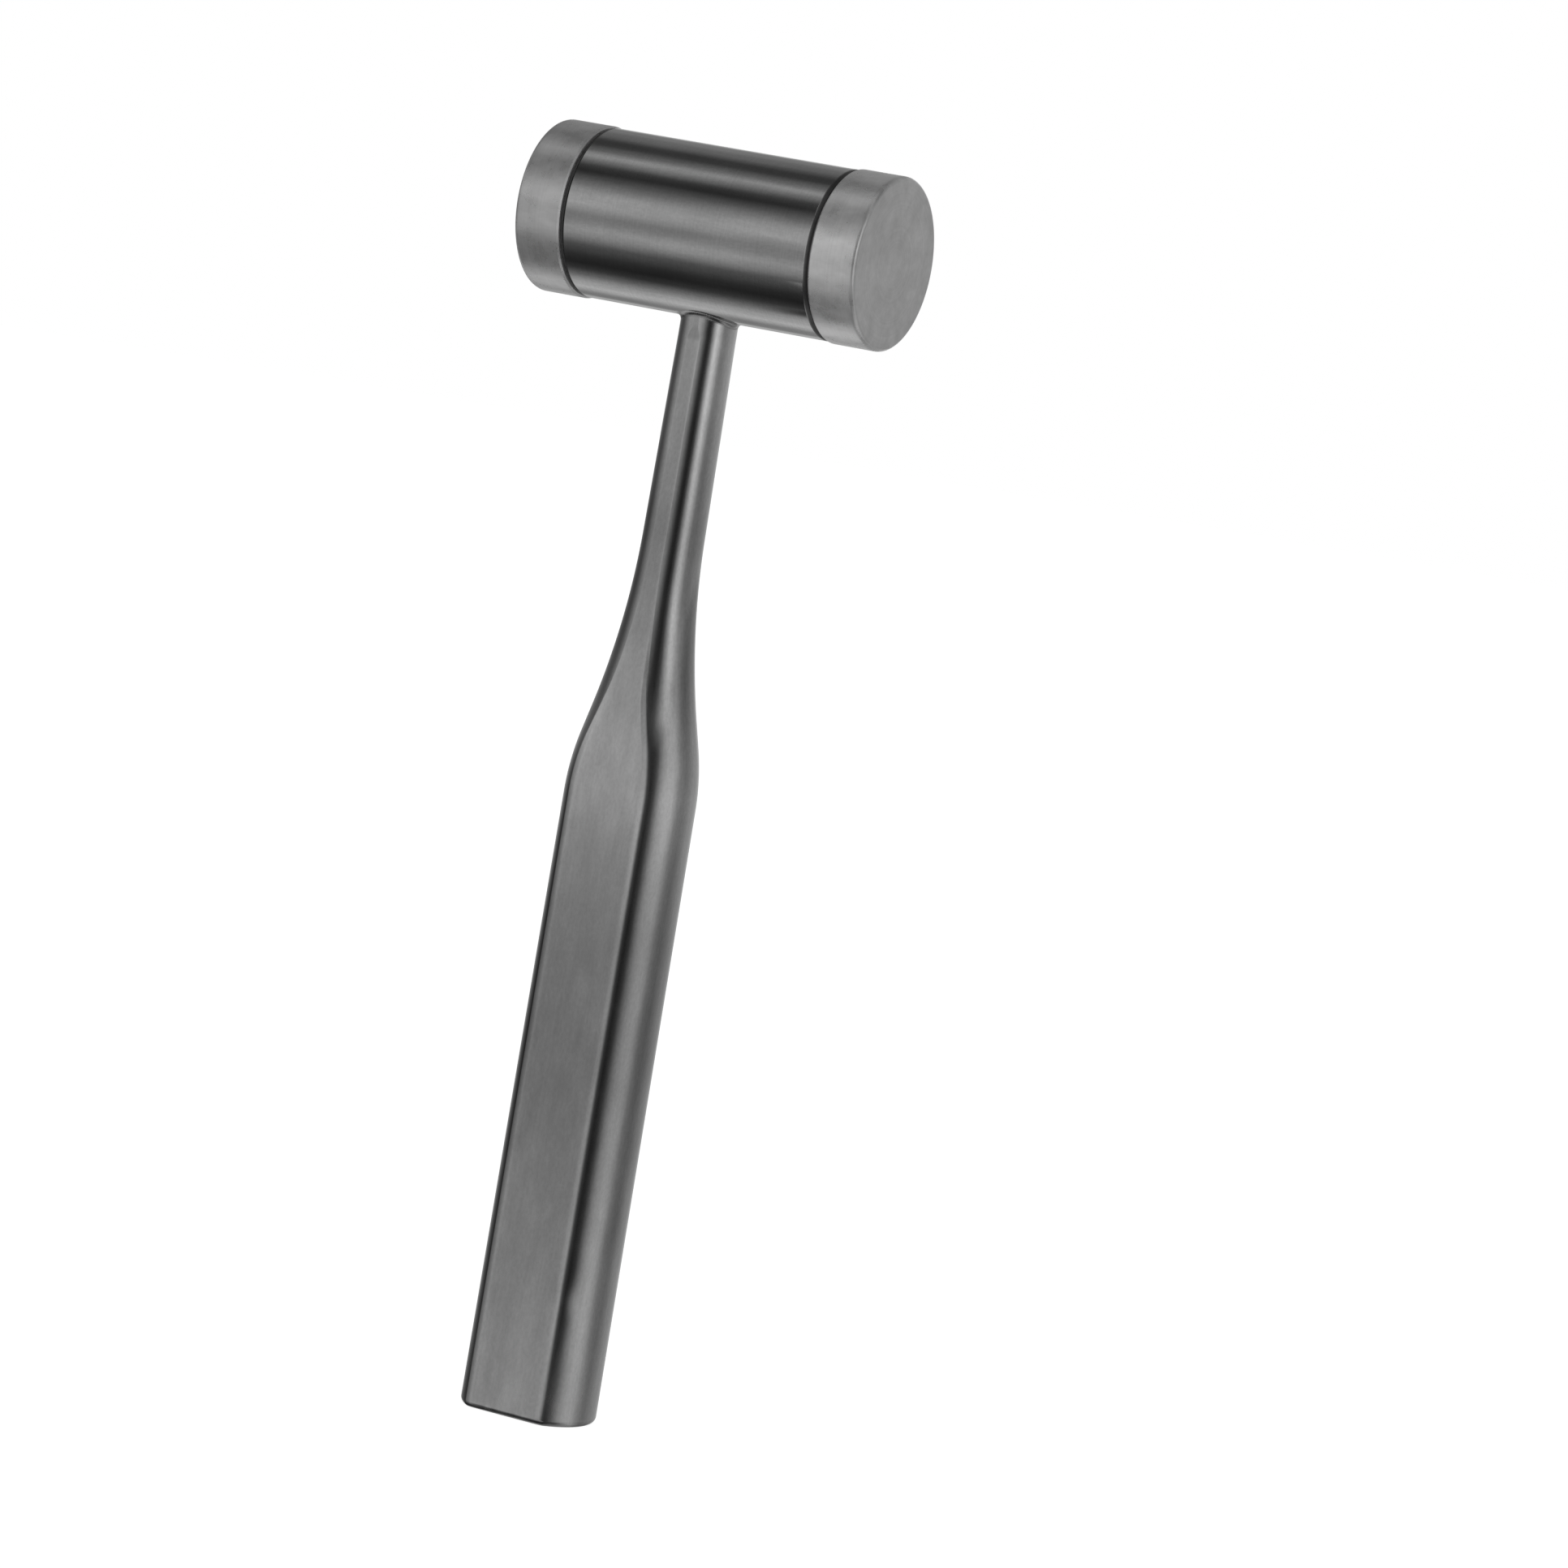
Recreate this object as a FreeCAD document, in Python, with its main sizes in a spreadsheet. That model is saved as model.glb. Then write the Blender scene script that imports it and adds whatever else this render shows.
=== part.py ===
"""Surgical bone mallet with two screw-on caps, as a parametric FreeCAD document.

Lengths are millimetres. The mallet stands on its butt: +Z runs up the handle to the head, +X runs
along the head, and the origin is the centre of the butt's flat end. The pieces of the head are
drawn about their own turning axis, local +Z, and laid over by their Placement: half the head is
drawn, as seen from its middle, and the left half is the right half turned half a turn about the
handle, so that both ends have the same right-handed thread.
"""
import FreeCAD, Part
import math
import os
import re
import Sketcher

V = FreeCAD.Vector

SIZES = {
    # overall
    "overall_height": 185.0,
    "head_length": 55.0,
    # caps and the rings under them
    "cap_radius": 12.5,
    "cap_edge_radius": 0.7,
    "cap_seat_chamfer": 0.25,
    "ring_thickness": 0.4,
    "ring_radius": 11.75,
    "ring_bore_radius": 5.6,
    # barrel of the head
    "barrel_radius": 12.3,
    "barrel_length": 39.6,
    "barrel_chamfer": 0.45,
    "bore_depth": 11.6,
    "bore_relief": 1.4,
    # thread of the caps, a coarse trapezoidal one
    "thread_radius": 5.0,
    "thread_depth": 1.0,
    "thread_pitch": 2.0,
    "thread_root_width": 1.3,
    "thread_crest_width": 0.7,
    "thread_clearance": 0.12,
    "thread_lock_gap": 0.03,
    "thread_start": 0.7,
    # studs, and the blind holes for them in the caps
    "stud_reach": 10.0,
    "stud_length": 14.5,
    "stud_end_chamfer": 0.7,
    "stud_thread_turns": 6.0,
    "cap_bore_depth": 4.5,
    "cap_thread_turns": 2.2,
    # handle: radius of the round bar, and half its thickness across the two flats
    "butt_radius": 9.9,
    "butt_edge_radius": 1.0,
    "shoulder_radius": 9.56,
    "shoulder_height": 94.8,
    "shoulder_bend": 39.5,
    "throat_radius": 4.62,
    "throat_height": 115.8,
    "throat_bend": 118.0,
    "neck_radius": 4.15,
    "neck_height": 157.5,
    "butt_flat": 7.65,
    "shoulder_flat": 7.26,
    "shoulder_flat_height": 98.8,
    "shoulder_flat_bend": 138.0,
    "throat_flat": 4.46,
    "throat_flat_height": 120.3,
    "throat_flat_bend": 155.0,
    "neck_flat": 4.04,
    "neck_flat_runout": 1.6,
    # joint between the handle and the head
    "tenon_rise": 4.5,
    "socket_clearance": 0.02,
    "socket_end_gap": 0.5,
    "mouth_start": 10.9,
    "mouth_flare": 0.75,
    "braze_radius": 0.8,
    "pin_radius": 1.25,
    "pin_reach": 5.5,
    "pin_length": 13.0,
    "pin_end_chamfer": 0.3,
}

doc = FreeCAD.newDocument("bone_mallet")
sheet = doc.addObject("Spreadsheet::Sheet", "sizes")
for row, (alias, number) in enumerate(SIZES.items(), start=1):
    sheet.set(f"A{row}", alias)
    sheet.set(f"B{row}", str(number))
    sheet.setAlias(f"B{row}", alias)
doc.recompute()

# stations along the head's axis from its middle, and along the handle from the butt
BARREL_END = "barrel_length / 2"
BORE_END = "barrel_length / 2 - bore_depth"
STUD_TIP = "barrel_length / 2 - stud_reach"
CAP_SEAT = "barrel_length / 2 + ring_thickness"
CAP_FACE = "head_length / 2"
HEAD_AXIS = "overall_height - cap_radius"
CORE = "thread_radius - thread_depth"
SOCKET_RADIUS = "neck_radius + socket_clearance"


def size(name):
    """Return a driving dimension as the sheet holds it."""
    return float(sheet.get(name))


def bound(formula):
    """Write a formula of dimension names as an expression that reads the sheet."""
    return re.sub(r"[a-z_]+", lambda word: f"sizes.{word[0]}" if word[0] in SIZES else word[0], formula)


def bind(thing, **formulas):
    """Bind properties of an object to formulas of dimension names."""
    for name, formula in formulas.items():
        thing.setExpression(name, bound(formula))


def new_body(label):
    """Start a sub-part that is made from sketches."""
    body = doc.addObject("PartDesign::Body", label)
    body.Label = label
    return body


def origin_feature(body, role):
    """Return one of a body's own origin planes or axes."""
    return next(feature for feature in body.Origin.OriginFeatures if feature.Role == role)


def outline(body, role, name, corners, bends=None):
    """Sketch a closed loop on an origin plane.

    corners are pairs of formulas; bends gives the radius of each corner that is rounded, by its
    place in the list.
    """
    sketch = body.newObject("Sketcher::SketchObject", name)
    sketch.AttachmentSupport = [(origin_feature(body, role), "")]
    sketch.MapMode = "FlatFace"
    count = len(corners)
    # a rough round loop, which the dimensions then pull into place
    rough = [V(math.cos(math.tau * i / count), math.sin(math.tau * i / count), 0) for i in range(count)]
    for i in range(count):
        sketch.addGeometry(Part.LineSegment(rough[i], rough[(i + 1) % count]), False)
    for i in range(count):
        sketch.addConstraint(Sketcher.Constraint("Coincident", i, 2, (i + 1) % count, 1))
    dimensions = {}
    for i, corner in enumerate(corners):
        for kind, axis, formula in zip(("DistanceX", "DistanceY"), (-2, -1), corner):
            if formula == "0":
                sketch.addConstraint(Sketcher.Constraint("PointOnObject", i, 1, axis))
                continue
            number = sketch.addConstraint(Sketcher.Constraint(kind, -1, 1, i, 1, 1.0))
            label = f"{kind}_{i}"
            sketch.renameConstraint(number, label)
            dimensions[label] = formula
    for label, formula in dimensions.items():
        sketch.setExpression(f"Constraints.{label}", bound(formula))
    doc.recompute()
    for i, formula in (bends or {}).items():
        radius = size(formula)
        sketch.fillet((i - 1) % count, 2, radius, True, True)
        arc = max(n for n, curve in enumerate(sketch.Geometry) if isinstance(curve, Part.ArcOfCircle))
        number = sketch.addConstraint(Sketcher.Constraint("Radius", arc, radius))
        sketch.renameConstraint(number, f"bend_{i}")
        sketch.setExpression(f"Constraints.bend_{i}", bound(formula))
    doc.recompute()
    return sketch


def disc(body, role, name, radius, height):
    """Sketch a circle centred on the plane's upright axis."""
    sketch = body.newObject("Sketcher::SketchObject", name)
    sketch.AttachmentSupport = [(origin_feature(body, role), "")]
    sketch.MapMode = "FlatFace"
    sketch.addGeometry(Part.Circle(V(0, size("overall_height"), 0), V(0, 0, 1), size(radius)), False)
    sketch.addConstraint(Sketcher.Constraint("PointOnObject", 0, 3, -2))
    for kind, ends, formula in (("DistanceY", (-1, 1, 0, 3), height), ("Radius", (0,), radius)):
        number = sketch.addConstraint(Sketcher.Constraint(kind, *ends, 1.0))
        sketch.renameConstraint(number, kind)
        sketch.setExpression(f"Constraints.{kind}", bound(formula))
    doc.recompute()
    return sketch


def turned(body, kind, name, sketch, axis="V_Axis"):
    """Turn a sketch round one of its own axes: kind is Revolution, which adds, or Groove, which cuts."""
    feature = body.newObject(f"PartDesign::{kind}", name)
    feature.Profile = sketch
    feature.ReferenceAxis = (sketch, [axis])
    feature.Angle = 360
    doc.recompute()
    return feature


def pushed(body, kind, name, sketch, length, **settings):
    """Push a sketch along its normal: kind is Pad, which adds, or Pocket, which cuts."""
    feature = body.newObject(f"PartDesign::{kind}", name)
    feature.Profile = sketch
    bind(feature, Length=length)
    for setting, value in settings.items():
        setattr(feature, setting, value)
    doc.recompute()
    return feature


def threaded(body, kind, name, gap, first_turn, turns):
    """Add or cut the cap thread, gap wider all round than the nominal one.

    Its ridge passes the half plane y = 0, x > 0 at the same stations on the stud, in the barrel and
    in the cap; first_turn counts turns of the thread from the one nearest the bottom of the bore.
    """
    station = f"{BORE_END} + thread_start + thread_pitch * {first_turn}"
    foot = f"{CORE} - thread_clearance"
    crest = f"thread_radius + {gap}"
    # the foot lies a little inside the surface that the ridge stands on
    half_crest = f"(thread_crest_width / 2 + {gap})"
    half_foot = f"(thread_root_width / 2 + {gap})"
    corners = [
        (foot, f"{station} - {half_foot}"),
        (crest, f"{station} - {half_crest}"),
        (crest, f"{station} + {half_crest}"),
        (foot, f"{station} + {half_foot}"),
    ]
    sketch = outline(body, "XZ_Plane", f"{name}_form", corners)
    helix = body.newObject(f"PartDesign::{kind}", name)
    helix.Profile = sketch
    helix.ReferenceAxis = (sketch, ["V_Axis"])
    helix.Mode = "pitch-turns-angle"
    bind(helix, Pitch="thread_pitch", Turns=turns)
    helix.Angle = 0
    doc.recompute()
    return helix


def on_head(thing, side):
    """Lay a piece of the head over onto the head's axis: side is 1 for the right, -1 for the left."""
    thing.Placement = FreeCAD.Placement(V(0, 0, 0), FreeCAD.Rotation(V(0, 1, 0), 90 * side))
    thing.setExpression(".Placement.Base.z", bound(HEAD_AXIS))


def make_handle():
    """Round bar with two long flats, necked down to a tenon that enters the head."""
    body = new_body("handle")
    tenon_top = f"{HEAD_AXIS} + tenon_rise"
    bar_corners = [
        ("0", "0"),
        ("butt_radius", "0"),
        ("shoulder_radius", "shoulder_height"),
        ("throat_radius", "throat_height"),
        ("neck_radius", "neck_height"),
        ("neck_radius", tenon_top),
        ("0", tenon_top),
    ]
    bar_bends = {1: "butt_edge_radius", 2: "shoulder_bend", 3: "throat_bend"}
    bar = outline(body, "XZ_Plane", "bar_outline", bar_corners, bar_bends)
    turned(body, "Revolution", "turned_bar", bar)
    # what is cut away for a flat: it follows the bar in, and runs out just under the head
    runout = "neck_height + neck_flat_runout"
    below = "0 - butt_edge_radius"
    beyond = "butt_radius + butt_edge_radius"
    flat_corners = [
        ("butt_flat / 2", "0"),
        ("butt_flat", "0"),
        ("shoulder_flat", "shoulder_flat_height"),
        ("throat_flat", "throat_flat_height"),
        ("neck_flat", "neck_height"),
        ("neck_radius", runout),
        (beyond, runout),
        (beyond, below),
        ("butt_flat / 2", below),
    ]
    flat_bends = {1: "butt_edge_radius", 2: "shoulder_flat_bend", 3: "throat_flat_bend"}
    flat = outline(body, "YZ_Plane", "flat_outline", flat_corners, flat_bends)
    front = pushed(body, "Pocket", "front_flat", flat, "butt_radius * 3", SideType="Symmetric")
    mirror = body.newObject("PartDesign::Mirrored", "back_flat")
    mirror.Originals = [front]
    mirror.MirrorPlane = (origin_feature(body, "XZ_Plane"), [""])
    body.Tip = mirror
    doc.recompute()
    hole = disc(body, "YZ_Plane", "pin_hole_outline", "pin_radius", HEAD_AXIS)
    pushed(body, "Pocket", "pin_hole", hole, "neck_radius * 3", SideType="Symmetric")
    return body


def make_barrel():
    """Steel cylinder, tapped at both ends and bored across for the handle's tenon."""
    body = new_body("head_barrel")
    rim = "barrel_radius - barrel_chamfer"
    skin = [
        ("0", f"0 - {BARREL_END}"),
        (rim, f"0 - {BARREL_END}"),
        ("barrel_radius", f"barrel_chamfer - {BARREL_END}"),
        ("barrel_radius", f"{BARREL_END} - barrel_chamfer"),
        (rim, BARREL_END),
        ("0", BARREL_END),
    ]
    turned(body, "Revolution", "turned_barrel", outline(body, "XZ_Plane", "barrel_outline", skin))
    core = f"{CORE} + thread_clearance"
    wide = "thread_radius + thread_clearance * 2"
    bore = [
        ("0", BORE_END),
        (wide, BORE_END),
        (wide, f"{BORE_END} + bore_relief"),
        (core, f"{BORE_END} + bore_relief + thread_depth"),
        (core, f"{BARREL_END} - thread_depth"),
        (wide, BARREL_END),
        ("0", BARREL_END),
    ]
    drilled = turned(body, "Groove", "end_bore", outline(body, "XZ_Plane", "bore_outline", bore))
    tapped = threaded(body, "SubtractiveHelix", "end_thread", "thread_clearance", "0", "6")
    both_ends = body.newObject("PartDesign::PolarPattern", "both_ends")
    both_ends.Originals = [drilled, tapped]
    both_ends.Axis = (origin_feature(body, "Y_Axis"), [""])
    both_ends.Angle = 360
    both_ends.Occurrences = 2
    body.Tip = both_ends
    doc.recompute()
    # the socket for the tenon runs down out of the barrel, which is local +X, and flares at its mouth
    socket_end = "0 - tenon_rise - socket_end_gap"
    socket = [
        (socket_end, "0"),
        (socket_end, SOCKET_RADIUS),
        ("mouth_start", SOCKET_RADIUS),
        ("barrel_radius", f"{SOCKET_RADIUS} + mouth_flare"),
        ("barrel_radius * 1.2", f"{SOCKET_RADIUS} + mouth_flare"),
        ("barrel_radius * 1.2", "0"),
    ]
    socket_outline = outline(body, "XZ_Plane", "socket_outline", socket)
    turned(body, "Groove", "tenon_socket", socket_outline, "H_Axis")
    pin_hole = [
        ("0", "0 - pin_reach - pin_end_chamfer"),
        ("pin_radius", "0 - pin_reach - pin_end_chamfer"),
        ("pin_radius", f"{BORE_END} + pin_end_chamfer"),
        ("0", f"{BORE_END} + pin_end_chamfer"),
    ]
    turned(body, "Groove", "pin_hole", outline(body, "XZ_Plane", "pin_hole_outline", pin_hole))
    on_head(body, 1)
    return body


def make_lock_pin():
    """Dowel driven in from the bottom of the right-hand bore, through the tenon."""
    body = new_body("tenon_lock_pin")
    start = "0 - pin_reach"
    end = "pin_length - pin_reach"
    corners = [
        ("0", start),
        ("pin_radius - pin_end_chamfer", start),
        ("pin_radius", f"{start} + pin_end_chamfer"),
        ("pin_radius", f"{end} - pin_end_chamfer"),
        ("pin_radius - pin_end_chamfer", end),
        ("0", end),
    ]
    turned(body, "Revolution", "turned_pin", outline(body, "XZ_Plane", "pin_outline", corners))
    on_head(body, 1)
    return body


def make_braze_fillet():
    """Braze that fills the socket's flared mouth and rounds off the corner between neck and barrel."""
    barrel = doc.addObject("Part::Cylinder", "barrel_skin")
    bind(barrel, Radius="barrel_radius", Height="barrel_length")
    barrel.Placement = FreeCAD.Placement(V(0, 0, 0), FreeCAD.Rotation(V(0, 1, 0), 90))
    bind(barrel, **{".Placement.Base.x": f"0 - {BARREL_END}", ".Placement.Base.z": HEAD_AXIS})
    neck = doc.addObject("Part::Cylinder", "neck_skin")
    bind(neck, Radius="neck_radius", Height=f"{HEAD_AXIS} - neck_height")
    bind(neck, **{".Placement.Base.z": "neck_height"})
    joined = doc.addObject("Part::Fuse", "neck_and_barrel")
    joined.Base = barrel
    joined.Tool = neck
    doc.recompute()
    # the edges of the corner lie at the neck's radius all along, and above the neck's foot
    corner = [
        number
        for number, edge in enumerate(joined.Shape.Edges, start=1)
        if all(
            abs(math.hypot(point.x, point.y) - size("neck_radius")) < 1e-4
            and point.z > size("neck_height") + 1
            for point in edge.discretize(9)
        )
    ]
    rounded = doc.addObject("Part::Fillet", "rounded_corner")
    rounded.Base = joined
    rounded.Edges = [(number, size("braze_radius"), size("braze_radius")) for number in corner]
    mouth = doc.addObject("Part::Cone", "socket_mouth")
    bind(mouth, Radius1=f"{SOCKET_RADIUS} + mouth_flare", Radius2=SOCKET_RADIUS)
    bind(mouth, Height="barrel_radius - mouth_start")
    bind(mouth, **{".Placement.Base.z": f"{HEAD_AXIS} - barrel_radius"})
    flared_barrel = doc.addObject("Part::Cut", "flared_barrel")
    flared_barrel.Base = barrel
    flared_barrel.Tool = mouth
    bead_and_neck = doc.addObject("Part::Cut", "bead_and_neck")
    bead_and_neck.Base = rounded
    bead_and_neck.Tool = flared_barrel
    bead = doc.addObject("Part::Cut", "neck_braze_fillet")
    bead.Base = bead_and_neck
    bead.Tool = neck
    bead.Label = "neck_braze_fillet"
    doc.recompute()
    return bead


def make_cap(label, side):
    """Soft-metal striking cap, with a blind tapped hole for its stud."""
    body = new_body(label)
    skin = [
        ("0", CAP_SEAT),
        ("cap_radius - cap_seat_chamfer", CAP_SEAT),
        ("cap_radius", f"{CAP_SEAT} + cap_seat_chamfer"),
        ("cap_radius", CAP_FACE),
        ("0", CAP_FACE),
    ]
    rounded = {3: "cap_edge_radius"}
    turned(body, "Revolution", "turned_cap", outline(body, "XZ_Plane", "cap_outline", skin, rounded))
    core = f"{CORE} + thread_lock_gap"
    wide = "thread_radius + thread_clearance"
    bore_end = f"{CAP_SEAT} + cap_bore_depth"
    bore = [
        ("0", CAP_SEAT),
        (core, CAP_SEAT),
        (core, f"{bore_end} - bore_relief"),
        (wide, f"{bore_end} - bore_relief"),
        (wide, bore_end),
        ("0", bore_end),
    ]
    turned(body, "Groove", "stud_bore", outline(body, "XZ_Plane", "bore_outline", bore))
    threaded(body, "SubtractiveHelix", "bore_thread", "thread_lock_gap", "5", "cap_thread_turns")
    on_head(body, side)
    return body


def make_stud(label, side):
    """Steel stud, threaded all along: one end is locked in the cap, the other screws into the barrel."""
    body = new_body(label)
    end = f"{STUD_TIP} + stud_length"
    shank = [
        ("0", STUD_TIP),
        (f"{CORE} - stud_end_chamfer", STUD_TIP),
        (CORE, f"{STUD_TIP} + stud_end_chamfer"),
        (CORE, f"{end} - stud_end_chamfer"),
        (f"{CORE} - stud_end_chamfer", end),
        ("0", end),
    ]
    turned(body, "Revolution", "turned_shank", outline(body, "XZ_Plane", "shank_outline", shank))
    threaded(body, "AdditiveHelix", "stud_thread", "0", "1", "stud_thread_turns")
    on_head(body, side)
    return body


def make_seal_ring(label, side):
    """Thin flat ring that seals the joint between the cap and the barrel."""
    body = new_body(label)
    corners = [
        ("ring_bore_radius", BARREL_END),
        ("ring_radius", BARREL_END),
        ("ring_radius", CAP_SEAT),
        ("ring_bore_radius", CAP_SEAT),
    ]
    turned(body, "Revolution", "flat_ring", outline(body, "XZ_Plane", "ring_outline", corners))
    on_head(body, side)
    return body


sub_parts = [make_handle(), make_barrel(), make_lock_pin(), make_braze_fillet()]
for hand, side in (("right", 1), ("left", -1)):
    sub_parts.append(make_cap(f"{hand}_cap", side))
    sub_parts.append(make_stud(f"{hand}_cap_stud", side))
    sub_parts.append(make_seal_ring(f"{hand}_seal_ring", side))
doc.recompute()

CUTS = ("PartDesign::Groove", "PartDesign::Pocket", "PartDesign::SubtractiveHelix")
for thing in doc.Objects:
    if "Invalid" in thing.State or "Error" in thing.State:
        raise RuntimeError(f"{thing.Label} failed: {thing.State}")
    if thing.TypeId in CUTS and thing.Shape.Volume > thing.BaseFeature.Shape.Volume - 0.01:
        raise RuntimeError(f"{thing.Label} cuts nothing")

os.makedirs("parts", exist_ok=True)
for sub_part in sub_parts:
    shape = sub_part.Shape
    if shape.isNull() or not shape.isValid() or len(shape.Solids) != 1:
        raise RuntimeError(f"{sub_part.Label} is not one valid solid")
    shape.exportStep(f"parts/{sub_part.Label}.step")
    print(f"{sub_part.Label}: {shape.Volume:.1f} mm3")
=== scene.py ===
"""Looks of the bone mallet: a satin steel handle, a polished barrel, soft metal caps, and a light tent.

Everything is in metres in the frame of the model: +Z runs up the handle, +X along the head.
"""

import math

import bpy
from mathutils import Matrix, Vector


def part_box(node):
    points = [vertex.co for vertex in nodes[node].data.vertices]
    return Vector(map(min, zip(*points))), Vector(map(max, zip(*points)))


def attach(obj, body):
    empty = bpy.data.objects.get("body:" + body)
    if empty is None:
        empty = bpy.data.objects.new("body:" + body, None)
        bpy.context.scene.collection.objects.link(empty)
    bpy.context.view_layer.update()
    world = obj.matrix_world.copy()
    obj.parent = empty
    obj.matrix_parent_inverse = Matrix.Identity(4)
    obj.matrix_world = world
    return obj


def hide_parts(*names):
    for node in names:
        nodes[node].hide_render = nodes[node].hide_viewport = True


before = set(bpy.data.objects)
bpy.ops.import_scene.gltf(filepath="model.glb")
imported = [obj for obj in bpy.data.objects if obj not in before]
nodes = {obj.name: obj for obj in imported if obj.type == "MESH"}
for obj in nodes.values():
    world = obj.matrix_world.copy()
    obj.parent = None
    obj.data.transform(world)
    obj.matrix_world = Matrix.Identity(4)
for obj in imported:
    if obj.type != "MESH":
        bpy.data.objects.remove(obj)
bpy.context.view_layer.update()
scene = bpy.context.scene
MM = 0.001

# ---------------------------------------------------------------- places read from the frame
BARREL_LOW, BARREL_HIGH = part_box("head_barrel")
HANDLE_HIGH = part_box("handle")[1]
CAP_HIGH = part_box("right_cap")[1]
HEAD_AXIS_Z = (BARREL_LOW.z + BARREL_HIGH.z) / 2
BARREL_RADIUS = BARREL_HIGH.z - HEAD_AXIS_Z
BUTT_RADIUS = HANDLE_HIGH.x
BUTT_FLAT = HANDLE_HIGH.y
TENON_TOP = HANDLE_HIGH.z


# ---------------------------------------------------------------- helpers for shader nodes
def tone(level):
    """Linear light of a display level from 0 to 1."""
    return level / 12.92 if level <= 0.04045 else ((level + 0.055) / 1.055) ** 2.4


def grey(level):
    """Grey colour of a display level, as a node wants it."""
    return (tone(level),) * 3 + (1.0,)


def add(tree, kind, inputs=None, **settings):
    """Add a node, set its properties, and set or link its inputs."""
    node = tree.nodes.new("ShaderNode" + kind)
    for name, value in settings.items():
        setattr(node, name, value)
    for name, value in (inputs or {}).items():
        if isinstance(value, bpy.types.NodeSocket):
            tree.links.new(value, node.inputs[name])
        else:
            node.inputs[name].default_value = value
    return node


def calc(tree, operation, first, second=0.0):
    """One step of arithmetic."""
    return add(tree, "Math", {0: first, 1: second}, operation=operation).outputs[0]


def remap(tree, value, low, high, to_low=0.0, to_high=1.0, smooth=False):
    """Map one range onto another, held at its ends."""
    kind = "SMOOTHSTEP" if smooth else "LINEAR"
    inputs = {"Value": value, "From Min": low, "From Max": high, "To Min": to_low, "To Max": to_high}
    return add(tree, "MapRange", inputs, interpolation_type=kind, clamp=True).outputs["Result"]


def blend(tree, weight, first, second):
    """Mix two numbers."""
    node = add(tree, "Mix", {0: weight, 2: first, 3: second}, data_type="FLOAT")
    return node.outputs[0]


def ramp(tree, value, stops):
    """Grey levels between (place, display level) stops; the places are in the value's own unit."""
    low, high = stops[0][0], stops[-1][0]
    node = add(tree, "ValToRGB", {0: remap(tree, value, low, high)})
    elements = node.color_ramp.elements
    elements[0].color = grey(stops[0][1])
    elements[1].color = grey(stops[-1][1])
    for place, level in stops[1:-1]:
        elements.new((place - low) / (high - low)).color = grey(level)
    return node.outputs["Color"]


def degrees(tree, radians):
    return calc(tree, "MULTIPLY", radians, 180 / math.pi)


def azimuth(tree, x, y):
    """Compass angle of a direction: 0 in front (-Y), 90 at the right (+X), in degrees."""
    return degrees(tree, calc(tree, "ARCTAN2", x, calc(tree, "MULTIPLY", y, -1.0)))


# ---------------------------------------------------------------- studio
# Light and dark strips that run along the head, by the angle round it from the front: 90 is above.
ALONG_HEAD = [
    (-180, 0.42), (-152, 0.37), (-137, 0.42), (-122, 0.63), (-109, 0.56), (-96, 0.37), (-85, 0.18),
    (-74, 0.11), (-62, 0.16), (-46, 0.28), (-33, 0.50), (-24, 0.53), (-14, 0.44), (-5, 0.42), (10, 0.56),
    (20, 0.54), (31, 0.46), (43, 0.29), (54, 0.13), (64, 0.20), (75, 0.44), (81, 0.53), (90, 0.36),
    (103, 0.19), (114, 0.20), (127, 0.34), (142, 0.37), (158, 0.44), (170, 0.48), (180, 0.48),
]
# Upright panels of the tent, level with the mallet, by azimuth.
UPRIGHT = [
    (-180, 0.50), (-150, 0.44), (-128, 0.31), (-114, 0.24), (-102, 0.21), (-92, 0.22), (-82, 0.29),
    (-70, 0.38), (-58, 0.45), (-44, 0.46), (-26, 0.43), (-14, 0.50), (-4, 0.47), (6, 0.40), (16, 0.27),
    (25, 0.13), (35, 0.09), (44, 0.20), (54, 0.45), (63, 0.60), (70, 0.60), (81, 0.50), (92, 0.37),
    (102, 0.35), (114, 0.36), (134, 0.42), (156, 0.45), (180, 0.50),
]
# Curved panels close beside the grip, by azimuth: one round its right side, one round its left.
RIGHT_PANEL = [
    (-16, 0.44), (-12, 0.48), (-4, 0.50), (2, 0.26), (10, 0.19), (40, 0.15), (58, 0.10), (64, 0.17),
    (69, 0.32), (74, 0.43), (80, 0.50), (88, 0.54), (98, 0.54), (104, 0.49), (111, 0.40), (119, 0.35),
    (128, 0.33), (139, 0.37), (152, 0.43), (176, 0.46),
]
LEFT_PANEL = [(-106, 0.42), (-92, 0.24), (-78, 0.13), (-54, 0.14), (-44, 0.34), (-38, 0.43)]
RIGHT_PANEL_RADIUS = 0.060
LEFT_PANEL_RADIUS = 0.018
PANEL_LOW = -0.030
RIGHT_PANEL_HIGH = 0.1222
LEFT_PANEL_HIGH = 0.1060
# the height over which the top of each panel fades away
RIGHT_PANEL_FADE = 0.0002
LEFT_PANEL_FADE = 0.0180
# The strips lean over from this height to the top of the right panel, by so many degrees.
LEAN_START = 0.1190
LEAN_DARK = 22.0
LEAN_BRIGHT = 10.0
# the azimuths of those two strips
DARK_STRIP, BRIGHT_STRIP = 30, 80
PANEL_COLUMNS = 96
TENT_GAIN = 2.38
# the display level of the strips along the head, in front of the mallet
FRONT_LEVEL = 0.42
# angle round the head for each degree of height, at the azimuth that the front flat mirrors
ROUND_PER_HEIGHT = 1.11
# the belt of upright panels ends between these heights above and below level, in degrees
BELT_FULL, BELT_GONE = 20, 30
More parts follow.
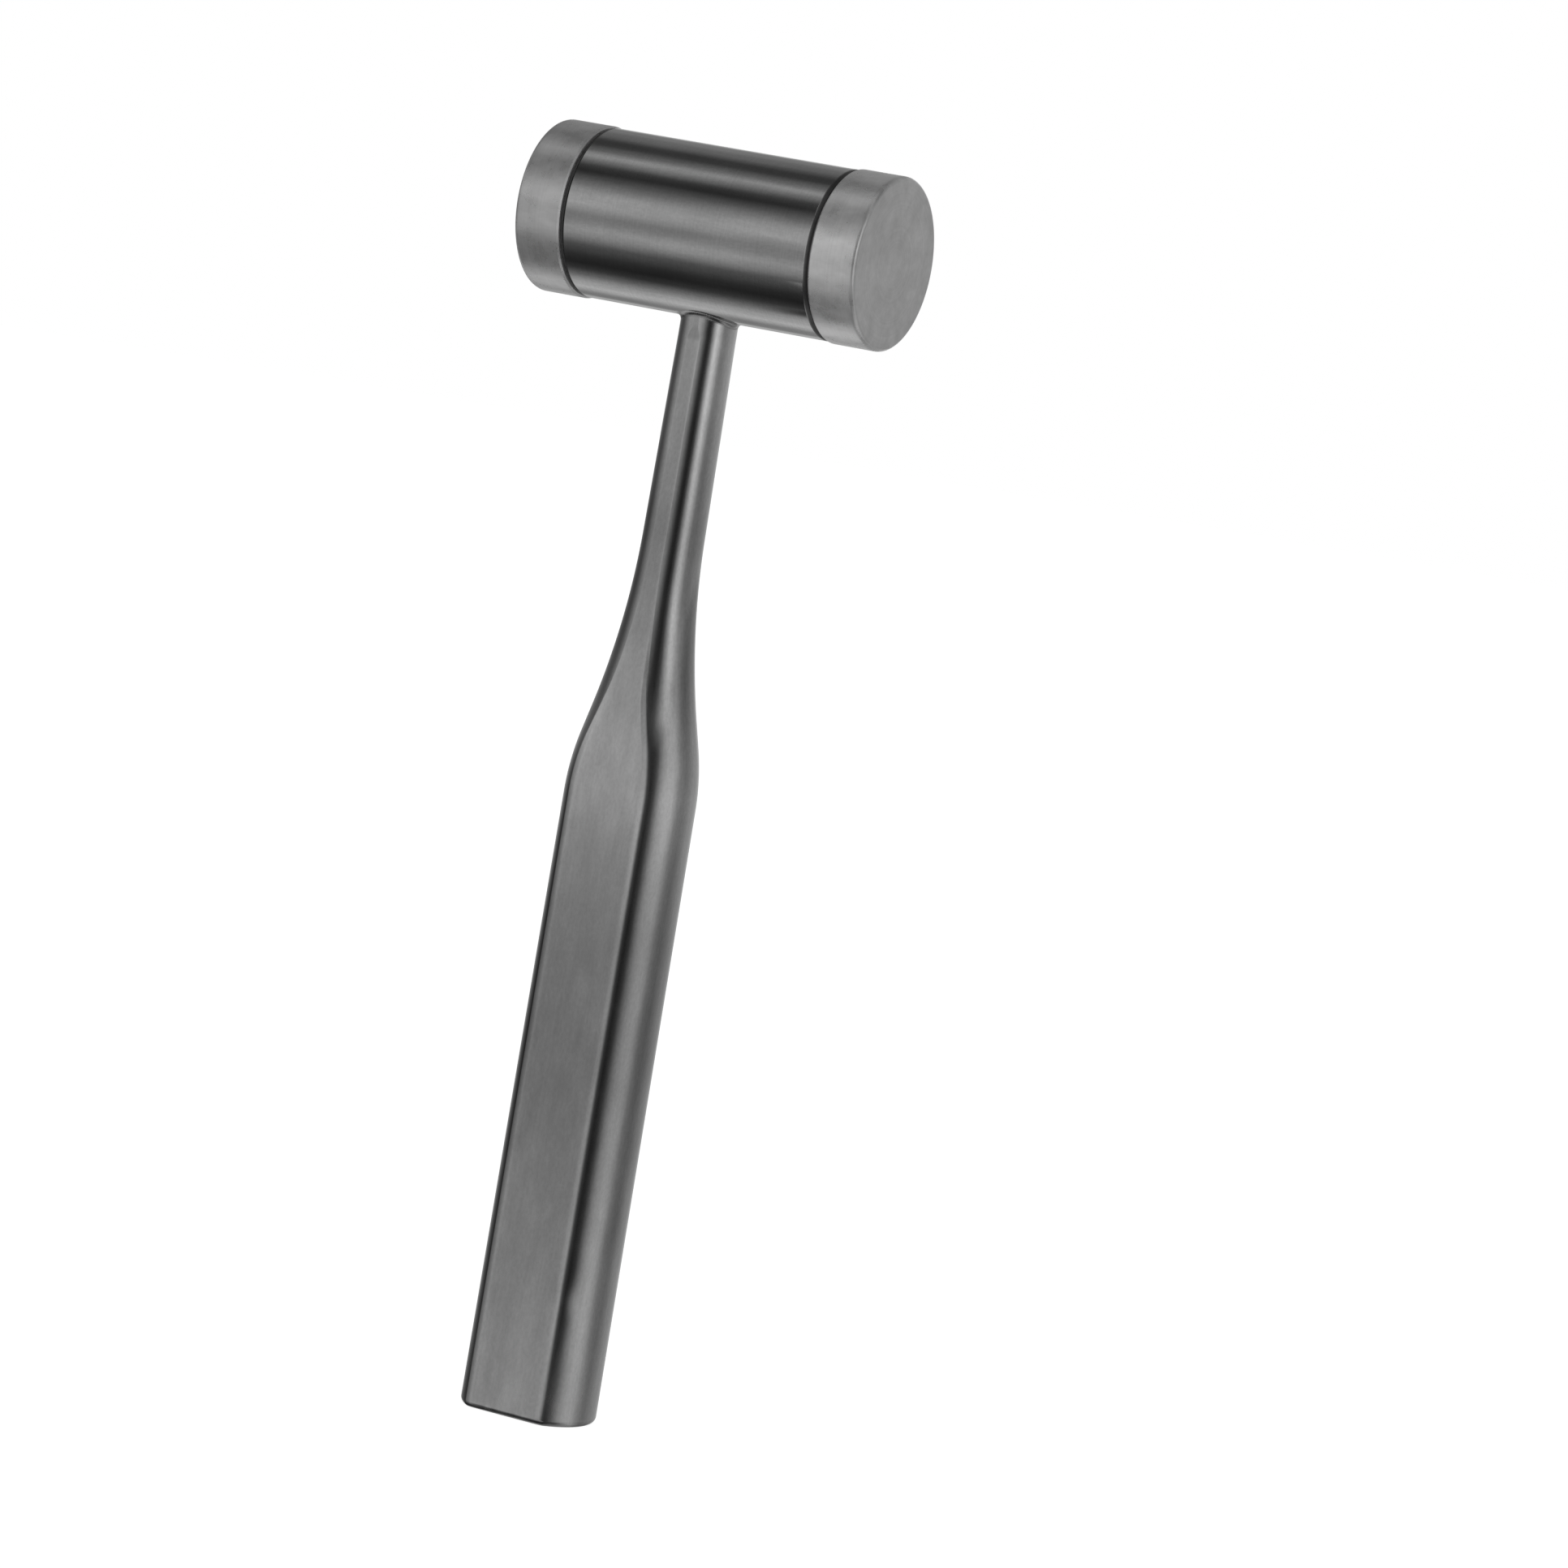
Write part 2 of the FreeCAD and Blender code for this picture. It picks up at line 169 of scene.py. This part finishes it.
# how much wider apart the upright panels stand higher up, and where that starts and ends, in degrees
SPLAY = 0.19
SPLAY_START = 4.0
SPLAY_HEIGHT = 18.0
FLOOR_RADIUS = 3.0
DOME_RINGS, DOME_COLUMNS = 24, 64
FLOOR_GLOW, FLOOR_TONE = 0.93, 0.55
DOME_GLOW, DOME_TONE = 1.0, 0.0


def make_tent():
    """World light: strips along the head, and a belt of upright panels level with the mallet."""
    world = bpy.data.worlds.new("light_tent")
    scene.world = world
    world.use_nodes = True
    tree = world.node_tree
    tree.nodes.clear()
    direction = add(tree, "SeparateXYZ", {0: add(tree, "TexCoord").outputs["Generated"]}).outputs
    x, y, z = direction[0], direction[1], direction[2]
    height = degrees(tree, calc(tree, "ARCSINE", z))
    round_head = degrees(tree, calc(tree, "ARCTAN2", z, calc(tree, "MULTIPLY", y, -1.0)))
    strips = ramp(tree, round_head, ALONG_HEAD)
    splay = remap(tree, height, SPLAY_START, SPLAY_HEIGHT, 1, 1 + SPLAY, smooth=True)
    panels = ramp(tree, calc(tree, "DIVIDE", azimuth(tree, x, y), splay), UPRIGHT)
    front = ramp(tree, calc(tree, "MULTIPLY", height, ROUND_PER_HEIGHT), ALONG_HEAD)
    shaded = calc(tree, "DIVIDE", front, tone(FRONT_LEVEL))
    belt = calc(tree, "MULTIPLY", panels, shaded)
    in_belt = remap(tree, calc(tree, "ABSOLUTE", height), BELT_GONE, BELT_FULL, smooth=True)
    light = blend(tree, in_belt, strips, belt)
    background = add(tree, "Background", {"Color": light, "Strength": TENT_GAIN})
    output = add(tree, "OutputWorld")
    tree.links.new(background.outputs[0], output.inputs["Surface"])


def only_seen_by(thing, camera=False, reflections=False):
    """Choose which rays meet a piece of the studio."""
    thing.visible_camera = camera
    thing.visible_glossy = reflections
    thing.visible_diffuse = False
    thing.visible_transmission = False
    thing.visible_volume_scatter = False
    thing.visible_shadow = False


def new_object(name, points, faces, smooth=True):
    """Mesh object from points in metres and faces of point numbers."""
    mesh = bpy.data.meshes.new(name)
    mesh.from_pydata(points, [], faces)
    mesh.update()
    mesh.polygons.foreach_set("use_smooth", [smooth] * len(mesh.polygons))
    thing = bpy.data.objects.new(name, mesh)
    scene.collection.objects.link(thing)
    return thing


def make_grip_panel(name, stops, radius, top, fade):
    """Curved panel of light and dark strips beside the grip, seen only in reflections."""
    first, last = stops[0][0], stops[-1][0]
    points = []
    for i in range(PANEL_COLUMNS + 1):
        turn = math.radians(first + (last - first) * i / PANEL_COLUMNS)
        x, y = radius * math.sin(turn), -radius * math.cos(turn)
        points += [(x, y, PANEL_LOW), (x, y, top)]
    faces = [(2 * i, 2 * i + 2, 2 * i + 3, 2 * i + 1) for i in range(PANEL_COLUMNS)]
    panel = new_object(name, points, faces)
    material = bpy.data.materials.new(name + "_light")
    material.use_nodes = True
    tree = material.node_tree
    tree.nodes.clear()
    place = add(tree, "SeparateXYZ", {0: add(tree, "TexCoord").outputs["Object"]}).outputs
    turn = azimuth(tree, place[0], place[1])
    most = remap(tree, turn, DARK_STRIP, BRIGHT_STRIP, LEAN_DARK, LEAN_BRIGHT)
    rise = remap(tree, place[2], LEAN_START, RIGHT_PANEL_HIGH, smooth=True)
    light = ramp(tree, calc(tree, "ADD", turn, calc(tree, "MULTIPLY", most, rise)), stops)
    emission = add(tree, "Emission", {"Color": light, "Strength": TENT_GAIN}).outputs[0]
    clear = add(tree, "BsdfTransparent").outputs[0]
    gone = remap(tree, place[2], top - fade, top, smooth=True)
    surface = add(tree, "MixShader", {0: gone, 1: emission, 2: clear}).outputs[0]
    output = add(tree, "OutputMaterial")
    tree.links.new(surface, output.inputs["Surface"])
    panel.data.materials.append(material)
    only_seen_by(panel, reflections=True)


def make_backdrop():
    """White floor under a white dome."""
    turns = [math.tau * i / DOME_COLUMNS for i in range(DOME_COLUMNS)]
    points = [(FLOOR_RADIUS * math.cos(turn), FLOOR_RADIUS * math.sin(turn), 0.0) for turn in turns]
    faces = [(0, i + 1, (i + 1) % DOME_COLUMNS + 1) for i in range(DOME_COLUMNS)]
    floor = new_object("floor", [(0.0, 0.0, 0.0)] + points, faces, smooth=False)
    points, faces = [], []
    for ring in range(DOME_RINGS + 1):
        tilt = math.pi * (ring / DOME_RINGS - 0.5)
        wide, high = FLOOR_RADIUS * math.cos(tilt), FLOOR_RADIUS * math.sin(tilt)
        points += [(wide * math.cos(turn), wide * math.sin(turn), high) for turn in turns]
    for ring in range(DOME_RINGS):
        low, high = ring * DOME_COLUMNS, (ring + 1) * DOME_COLUMNS
        for i in range(DOME_COLUMNS):
            j = (i + 1) % DOME_COLUMNS
            faces.append((low + i, low + j, high + j, high + i))
    dome = new_object("backdrop", points, faces)
    for thing, glow, level in ((floor, FLOOR_GLOW, FLOOR_TONE), (dome, DOME_GLOW, DOME_TONE)):
        material = bpy.data.materials.new(thing.name + "_white")
        material.use_nodes = True
        shader = material.node_tree.nodes["Principled BSDF"]
        shader.inputs["Base Color"].default_value = (level, level, level, 1)
        shader.inputs["Roughness"].default_value = 1.0
        shader.inputs["Specular IOR Level"].default_value = 0.0
        shader.inputs["Emission Color"].default_value = (1, 1, 1, 1)
        shader.inputs["Emission Strength"].default_value = glow
        thing.data.materials.append(material)
        only_seen_by(thing, camera=True)


# ---------------------------------------------------------------- camera
CAMERA_AZIMUTH = 26.29
CAMERA_ELEVATION = 5.39
CAMERA_ROLL = 9.60
CAMERA_DISTANCE = 1.0
CAMERA_LENS = 159.88
SENSOR_WIDTH = 36
AIM_SIDE = 21.46 * MM
AIM_HEIGHT = 96.33 * MM


def make_camera():
    """Long lens, a little above the mallet and to its right, rolled so that the mallet leans."""
    turn, rise, roll = (math.radians(a) for a in (CAMERA_AZIMUTH, CAMERA_ELEVATION, CAMERA_ROLL))
    right = Vector((math.cos(turn), math.sin(turn), 0))
    back = Vector((math.sin(turn) * math.cos(rise), -math.cos(turn) * math.cos(rise), math.sin(rise)))
    up = back.cross(right)
    aim = right * AIM_SIDE + Vector((0, 0, AIM_HEIGHT))
    rolled_right = right * math.cos(roll) + up * math.sin(roll)
    rolled_up = up * math.cos(roll) - right * math.sin(roll)
    data = bpy.data.cameras.new("camera")
    data.sensor_width = SENSOR_WIDTH
    data.lens = CAMERA_LENS
    data.clip_start = 0.01
    camera = bpy.data.objects.new("camera", data)
    axes = Matrix((rolled_right, rolled_up, back)).transposed().to_4x4()
    camera.matrix_world = Matrix.Translation(aim + back * CAMERA_DISTANCE) @ axes
    scene.collection.objects.link(camera)
    scene.camera = camera


# ---------------------------------------------------------------- handle
# Outline of the round bar, and of its thickness across the flats: height, half width and the radius
# of the bend there, in millimetres.
BAR = [
    (0.0, BUTT_RADIUS / MM, 0), (94.8, 9.56, 39.5), (115.8, 4.62, 118.0), (157.5, 4.15, 0),
    (TENON_TOP / MM, 4.15, 0),
]
FLATS = [
    (0.0, BUTT_FLAT / MM, 0), (98.8, 7.26, 138.0), (120.3, 4.46, 155.0), (157.5, 4.04, 0),
    (159.1, 4.15, 0), (TENON_TOP / MM, 4.15, 0),
]
BUTT_EDGE = 1.0
BUTT_RINGS = 10
RING_STEP = 0.5
# size of the ring that keeps each end flat, against the ring at its edge
END_RING = 0.97
LONG_EDGE = 0.8
# polishing has rolled each flat over a little before its edge: the radius and the turn of that roll
ROLL = 6.0
ROLL_TURN = math.radians(12)
# a flat narrower than this to each side has less of that roll
WIDE_FLAT = 3.0
THINNEST_FLAT = 0.02
FLAT_COLUMNS, ROLL_COLUMNS, EDGE_COLUMNS, ROUND_COLUMNS = 5, 6, 8, 20
# the burr of a knock on the right edge of the front flat
BURR_PLACE = Vector((6.1, -7.5, 18.5))
BURR_SIZE = 2.1
BURR_HEIGHT = 0.15


def half_width(outline, height):
    """Half width of an outline at a height: straight runs, with an arc tangent to both at each bend."""
    for before, corner, after in zip(outline, outline[1:], outline[2:]):
        if not corner[2]:
            continue
        here = Vector(corner[:2])
        back = (Vector(before[:2]) - here).normalized()
        ahead = (Vector(after[:2]) - here).normalized()
        half = back.angle(ahead) / 2
        reach = corner[2] / math.tan(half)
        if here.x + back.x * reach <= height <= here.x + ahead.x * reach:
            centre = here + (back + ahead).normalized() * corner[2] / math.sin(half)
            side = math.copysign(1, here.y - centre.y)
            return centre.y + side * math.sqrt(corner[2] ** 2 - (height - centre.x) ** 2)
    for low, high in zip(outline, outline[1:]):
        if height <= high[0]:
            return low[1] + (high[1] - low[1]) * (height - low[0]) / (high[0] - low[0])
    return outline[-1][1]


def quarter_section(radius, flat):
    """Points from the middle of a flat to the middle of a round side.

    The flat rolls over gently, then turns a rounded edge, and the edge ends along the round side.
    """
    flat = min(flat, radius - THINNEST_FLAT)
    width = math.sqrt((radius - LONG_EDGE) ** 2 - (flat - LONG_EDGE) ** 2)
    roll = ROLL_TURN * min(width / WIDE_FLAT, 1.0)
    edge_y = flat - ROLL + (ROLL - LONG_EDGE) * math.cos(roll)
    edge_x = math.sqrt((radius - LONG_EDGE) ** 2 - edge_y ** 2)
    roll_x = edge_x - (ROLL - LONG_EDGE) * math.sin(roll)
    points = [(roll_x * i / FLAT_COLUMNS, flat) for i in range(FLAT_COLUMNS)]
    for i in range(ROLL_COLUMNS):
        turn = roll * i / ROLL_COLUMNS
        points.append((roll_x + ROLL * math.sin(turn), flat - ROLL * (1 - math.cos(turn))))
    start = math.pi / 2 - roll
    corner = math.atan2(edge_y, edge_x)
    for i in range(EDGE_COLUMNS):
        turn = start + (corner - start) * i / EDGE_COLUMNS
        points.append((edge_x + LONG_EDGE * math.cos(turn), edge_y + LONG_EDGE * math.sin(turn)))
    for i in range(ROUND_COLUMNS):
        turn = corner * (1 - i / ROUND_COLUMNS)
        points.append((radius * math.cos(turn), radius * math.sin(turn)))
    return points


def section(radius, flat):
    """Whole outline of the handle at one height, anticlockwise from the middle of the back flat."""
    quarter = quarter_section(radius, flat)
    side = (radius, 0.0)
    half = quarter + [side] + [(x, -y) for x, y in reversed(quarter[1:])]
    return half + [(-x, -y) for x, y in half]


def with_burr(point):
    """Point of the handle in millimetres, raised a little near the burr."""
    distance = (point - BURR_PLACE).length
    push = BURR_HEIGHT * math.exp(-((distance / BURR_SIZE) ** 2))
    return point + Vector((point.x, point.y, 0)).normalized() * push


def make_handle():
    """Handle lofted through its sections, with a rounded butt edge."""
    rings = []
    for i in range(BUTT_RINGS):
        turn = math.pi / 2 * i / BUTT_RINGS
        rings.append((BUTT_EDGE * (1 - math.cos(turn)), BUTT_EDGE * (1 - math.sin(turn))))
    height = BUTT_EDGE
    while height < TENON_TOP / MM:
        rings.append((height, 0.0))
        height += RING_STEP
    rings.append((TENON_TOP / MM, 0.0))
    points = []
    for height, inset in rings:
        outline = section(half_width(BAR, height) - inset, half_width(FLATS, height) - inset)
        points += [with_burr(Vector((x, y, height))) * MM for x, y in outline]
    columns = len(points) // len(rings)
    faces = []
    for ring in range(len(rings) - 1):
        low, high = ring * columns, (ring + 1) * columns
        for i in range(columns):
            j = (i + 1) % columns
            faces.append((low + j, low + i, high + i, high + j))
    # the ends: a ring just inside the edge keeps the flat end flat, and a fan closes it
    for ring, flip in ((0, False), (len(rings) - 1, True)):
        inner = len(points)
        edge = points[ring * columns:(ring + 1) * columns]
        points += [(x * END_RING, y * END_RING, z) for x, y, z in edge]
        points.append((0.0, 0.0, edge[0][2]))
        for i in range(columns):
            j = (i + 1) % columns
            rim = (ring * columns + i, ring * columns + j, inner + j, inner + i)
            fan = (inner + i, inner + j, inner + columns)
            faces += [rim[::-1], fan[::-1]] if flip else [rim, fan]
    handle = new_object("steel_handle", points, faces)
    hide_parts("handle")
    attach(handle, "mallet")
    # the barrel doesn't mirror the neck, as in a retouched catalogue picture
    handle.visible_glossy = False
    return handle


# ---------------------------------------------------------------- materials
# Tone of the steel handle by its height in millimetres: a grip dulled by handling, and a painted
# highlight on the shoulder where the bar bends.
HANDLING_AND_HIGHLIGHT = [
    (0, 0.73), (14, 0.72), (27, 0.705), (42, 0.655), (56, 0.635), (70, 0.66), (84, 0.745), (92, 0.81),
    (99, 0.74), (106, 0.65), (115, 0.61), (126, 0.65), (142, 0.72), (157, 0.73),
]
# The long edges' bearing from the middle of a flat, and how far from it their rub and its painted
# highlight reach, in degrees;
# it ends below the shoulder, between the two heights in millimetres.
EDGE_BEARING = 38.0
RUB_FULL, RUB_GONE, RUB_WANDER = 4.0, 8.0, 5.0
RUB_TOP, RUB_FADE = 94, 86
# the rub's tone is a painted highlight along the long edges; its roughness is wear
EDGE_HIGHLIGHT_TONE, RUB_ROUGHNESS = 1.10, 0.8
# The butt: darker at its rim and on its underside, and a duller polish above it, between heights in
# millimetres.
BUTT_DARK_LOW, BUTT_DARK_HIGH, BUTT_DARK_WANDER, BUTT_DARK_TONE = 0.7, 1.5, 0.8, 0.35
WORN_LOW, WORN_HIGH, WORN_ROUGHNESS = 5, 19, 1.8
# The barrel: its tone, and dirt with painted shade kept in the seams, on the outer part of the chamfer
# at each end.
STEEL = 0.68
SEAM_START, SEAM_FULL, SEAM_SHADE_TONE, SEAM_ROUGHNESS = 0.50 * MM, 0.30 * MM, 0.30, 0.25
CHAMFER_START, CHAMFER_FULL = 0.80 * MM, 0.50 * MM
# The caps: tones, a struck face dulled by use and darkened by painted shade, and painted shade on the
# rim just behind it.
# one aluminium in two tones: the left cap is a painted-shade copy of the right
CAP_LIT_AND_SHADED_TONES = {"left": 0.83, "right": 0.90}
CAP_METALLIC = 0.5
STRUCK_START, STRUCK_FULL, STRUCK_SHADE_TONE, STRUCK_ROUGHNESS = 0.20 * MM, 0.02 * MM, 0.70, 0.14
RIM_START, RIM_FULL, RIM_SHADE_TONE = 1.1 * MM, 0.4 * MM, 0.88
RUBBER = 0.40
BRAZE = STEEL * 0.92
# Depths of the relief in metres.
HANDLE_RELIEF, BARREL_RELIEF, CAP_RELIEF = 0.8e-6, 0.6e-6, 0.7e-6
RUBBER_RELIEF, STUD_RELIEF, BRAZE_RELIEF = 8.0e-6, 2.0e-6, 8.0e-6


def new_material(name, metallic=1.0):
    """Material with nothing but its shader."""
    material = bpy.data.materials.new(name)
    material.use_nodes = True
    shader = material.node_tree.nodes["Principled BSDF"]
    shader.inputs["Metallic"].default_value = metallic
    return material, material.node_tree, shader


def position(tree):
    """Place of a point in the object's own space: three numbers in metres."""
    return add(tree, "SeparateXYZ", {0: add(tree, "TexCoord").outputs["Object"]}).outputs


def stretched_noise(tree, scale, detail=3.0):
    """Noise in the object's own space, scaled by a vector: a small number draws it out that way."""
    place = add(tree, "TexCoord").outputs["Object"]
    stretched = add(tree, "VectorMath", {0: place, 1: scale}, operation="MULTIPLY").outputs[0]
    inputs = {"Vector": stretched, "Scale": 1.0, "Detail": detail, "Roughness": 0.55}
    return add(tree, "TexNoise", inputs).outputs["Fac"]


def line_noise(tree, place, pitch, detail=2.0):
    """Noise that only varies along one number, so that it draws lines about a pitch apart."""
    inputs = {"W": calc(tree, "DIVIDE", place, pitch), "Scale": 1.0, "Detail": detail, "Roughness": 0.6}
    return add(tree, "TexNoise", inputs, noise_dimensions="1D").outputs["Fac"]


def from_head_axis(tree):
    """Distance from the head's axis."""
    place = position(tree)
    across = calc(tree, "SUBTRACT", place[2], HEAD_AXIS_Z)
    square = calc(tree, "ADD", calc(tree, "POWER", place[1], 2.0), calc(tree, "POWER", across, 2.0))
    return calc(tree, "SQRT", square)


def turned_outline(tree):
    """Distance along a turned outline: |x| along the side plus the distance from the head's axis."""
    return calc(tree, "ADD", calc(tree, "ABSOLUTE", position(tree)[0]), from_head_axis(tree))


def wander(tree, noise, amount):
    """A factor near 1 that follows a noise: 1 - amount to 1 + amount over its usual range."""
    return remap(tree, noise, 0.25, 0.75, 1 - amount, 1 + amount)


def between(tree, noise, low, high):
    """A number from low to high that follows a noise over its usual range."""
    return remap(tree, noise, 0.3, 0.7, low, high)


def product(tree, first, *others):
    """Several factors multiplied together."""
    for other in others:
        first = calc(tree, "MULTIPLY", first, other)
    return first


def finish(tree, shader, level, roughness, relief, depth):
    """Link the grey of a linear level, the roughness, and the relief as a bump."""
    colour = add(tree, "CombineColor", {"Red": level, "Green": level, "Blue": level}).outputs[0]
    tree.links.new(colour, shader.inputs["Base Color"])
    tree.links.new(roughness, shader.inputs["Roughness"])
    bump = add(tree, "Bump", {"Strength": 1.0, "Distance": depth, "Height": relief})
    tree.links.new(bump.outputs[0], shader.inputs["Normal"])


def brightness(tree, colour):
    """Grey level of a colour, as a number."""
    return add(tree, "RGBToBW", {0: colour}).outputs[0]


def handle_material():
    """Satin steel: finishing lines and a fine grain, a grip dulled by handling, a painted highlight on
    the shoulder, and long edges smoothed by rubbing with a painted highlight along them.
    """
    material, tree, shader = new_material("satin_steel")
    place = position(tree)
    height = calc(tree, "DIVIDE", place[2], MM)
    # the tone by height holds a painted highlight on the shoulder
    handling_and_highlight = brightness(tree, ramp(tree, height, HANDLING_AND_HIGHLIGHT))
    grain = stretched_noise(tree, (2600, 2600, 1500), detail=3.0)
    lines = stretched_noise(tree, (2400, 2400, 70), detail=2.0)
    clouds = stretched_noise(tree, (110, 110, 55), detail=4.0)
    smears = stretched_noise(tree, (420, 420, 160), detail=3.0)
    side_on = calc(tree, "ABSOLUTE", place[0])
    face_on = calc(tree, "ABSOLUTE", place[1])
    bearing = degrees(tree, calc(tree, "ARCTAN2", side_on, face_on))
    from_edge = calc(tree, "ABSOLUTE", calc(tree, "SUBTRACT", bearing, EDGE_BEARING))
    from_edge = calc(tree, "ADD", from_edge, product(tree, smears, RUB_WANDER))
    # the rub makes the long edges smoother and paints a highlight along them
    rub_and_highlight = remap(tree, from_edge, RUB_FULL, RUB_GONE, 1.0, 0.0, smooth=True)
    rub_and_highlight = product(tree, rub_and_highlight, remap(tree, height, RUB_TOP, RUB_FADE, smooth=True))
    # darker towards the rim of the butt and on its underside
    from_butt = calc(tree, "ADD", height, product(tree, smears, BUTT_DARK_WANDER))
    darker_at_butt = remap(tree, from_butt, BUTT_DARK_LOW, BUTT_DARK_HIGH, BUTT_DARK_TONE, 1.0, smooth=True)
    level = product(tree, handling_and_highlight, wander(tree, grain, 0.07), wander(tree, lines, 0.035),
                    wander(tree, clouds, 0.10), wander(tree, smears, 0.08),
                    blend(tree, rub_and_highlight, 1.0, EDGE_HIGHLIGHT_TONE), darker_at_butt)
    rough = product(tree, between(tree, clouds, 0.11, 0.16), wander(tree, smears, 0.15),
                    blend(tree, rub_and_highlight, 1.0, RUB_ROUGHNESS),
                    remap(tree, height, WORN_LOW, WORN_HIGH, WORN_ROUGHNESS, 1.0, smooth=True))
    relief = calc(tree, "ADD", product(tree, grain, 0.5), product(tree, lines, 0.5))
    finish(tree, shader, level, rough, relief, HANDLE_RELIEF)
    return material


def barrel_material():
    """Polished steel: faint polishing rings, hairline scratches, and dirt with painted shade kept in the
    seams.
    """
    material, tree, shader = new_material("polished_steel")
    along = calc(tree, "ABSOLUTE", position(tree)[0])
    rings = line_noise(tree, position(tree)[0], 0.00035)
    clouds = stretched_noise(tree, (70, 150, 150), detail=4.0)
    grain = stretched_noise(tree, (1800, 2600, 2600), detail=3.0)
    hair = stretched_noise(tree, (4200, 260, 260), detail=2.0)
    smears = stretched_noise(tree, (75, 800, 800), detail=4.0)
    at_end = remap(tree, along, BARREL_HIGH.x - SEAM_START, BARREL_HIGH.x - SEAM_FULL, smooth=True)
    at_rim = remap(tree, from_head_axis(tree), BARREL_RADIUS - CHAMFER_START,
                   BARREL_RADIUS - CHAMFER_FULL, smooth=True)
    # the seams get painted shade in their tone, and dirt in their roughness
    dirt_and_shade = product(tree, at_end, at_rim)
    level = product(tree, wander(tree, clouds, 0.09), wander(tree, rings, 0.03),
                    wander(tree, grain, 0.07), wander(tree, hair, 0.03), wander(tree, smears, 0.10),
                    blend(tree, dirt_and_shade, 1.0, SEAM_SHADE_TONE), tone(STEEL))
    rough = calc(tree, "ADD", between(tree, clouds, 0.10, 0.14), product(tree, dirt_and_shade, SEAM_ROUGHNESS))
    relief = calc(tree, "ADD", product(tree, rings, 0.6), product(tree, hair, 0.4))
    finish(tree, shader, level, rough, relief, BARREL_RELIEF)
    return material


def cap_material(name, shade):
    """Soft aluminium, turned all over and dulled by use, most of all on its struck face; painted shade
    darkens that face and the rim behind it.
    """
    material, tree, shader = new_material(name, CAP_METALLIC)
    rings = line_noise(tree, turned_outline(tree), 0.00045, detail=1.0)
    grain = stretched_noise(tree, (1000, 1000, 1000), detail=1.5)
    clouds = stretched_noise(tree, (260, 190, 190), detail=4.0)
    smears = stretched_noise(tree, (240, 700, 700), detail=2.0)
    along = calc(tree, "ABSOLUTE", position(tree)[0])
    struck = remap(tree, along, CAP_HIGH.x - STRUCK_START, CAP_HIGH.x - STRUCK_FULL, smooth=True)
    rim = remap(tree, along, CAP_HIGH.x - RIM_START, CAP_HIGH.x - RIM_FULL, smooth=True)
    rim = product(tree, rim, blend(tree, struck, 1.0, 0.0))
    # the struck face and the rim behind it are darkened by painted shade
    level = product(tree, wander(tree, clouds, 0.13), wander(tree, grain, 0.04),
                    wander(tree, rings, 0.03), wander(tree, smears, 0.08),
                    blend(tree, struck, 1.0, STRUCK_SHADE_TONE), blend(tree, rim, 1.0, RIM_SHADE_TONE), tone(shade))
    rough = product(tree, between(tree, clouds, 0.25, 0.34), wander(tree, grain, 0.12))
    rough = calc(tree, "ADD", rough, product(tree, struck, STRUCK_ROUGHNESS))
    relief = calc(tree, "ADD", product(tree, rings, 0.5), product(tree, grain, 0.8))
    finish(tree, shader, level, rough, relief, CAP_RELIEF)
    return material


def ring_material():
    """Grey rubber."""
    material, tree, shader = new_material("grey_rubber", metallic=0.0)
    grain = stretched_noise(tree, (2500, 2500, 2500))
    level = product(tree, wander(tree, grain, 0.15), tone(RUBBER))
    finish(tree, shader, level, between(tree, grain, 0.55, 0.7), grain, RUBBER_RELIEF)
    return material


def stud_material():
    """Machined steel."""
    material, tree, shader = new_material("machined_steel")
    rings = line_noise(tree, turned_outline(tree), 0.0002)
    clouds = stretched_noise(tree, (300, 300, 300), detail=4.0)
    level = product(tree, wander(tree, clouds, 0.12), wander(tree, rings, 0.08), tone(STEEL))
    finish(tree, shader, level, between(tree, clouds, 0.2, 0.3), rings, STUD_RELIEF)
    return material


def braze_material():
    """Filler metal, smoothed by hand."""
    material, tree, shader = new_material("filler_metal")
    clouds = stretched_noise(tree, (900, 900, 900), detail=4.0)
    level = product(tree, wander(tree, clouds, 0.15), tone(BRAZE))
    finish(tree, shader, level, between(tree, clouds, 0.2, 0.3), clouds, BRAZE_RELIEF)
    return material


def paint(thing, material):
    """Give a piece one material."""
    thing.data.materials.clear()
    thing.data.materials.append(material)


make_tent()
make_grip_panel("right_panel", RIGHT_PANEL, RIGHT_PANEL_RADIUS, RIGHT_PANEL_HIGH, RIGHT_PANEL_FADE)
make_grip_panel("left_panel", LEFT_PANEL, LEFT_PANEL_RADIUS, LEFT_PANEL_HIGH, LEFT_PANEL_FADE)
make_backdrop()
make_camera()
scene.view_settings.view_transform = "Standard"

paint(make_handle(), handle_material())
paint(nodes["head_barrel"], barrel_material())
paint(nodes["neck_braze_fillet"], braze_material())
rubber, machined = ring_material(), stud_material()
paint(nodes["tenon_lock_pin"], machined)
# each cap's tone carries painted shade, the left darker than the right
for side, shade in CAP_LIT_AND_SHADED_TONES.items():
    paint(nodes[side + "_cap"], cap_material(side + "_aluminium", shade))
    paint(nodes[side + "_seal_ring"], rubber)
    paint(nodes[side + "_cap_stud"], machined)
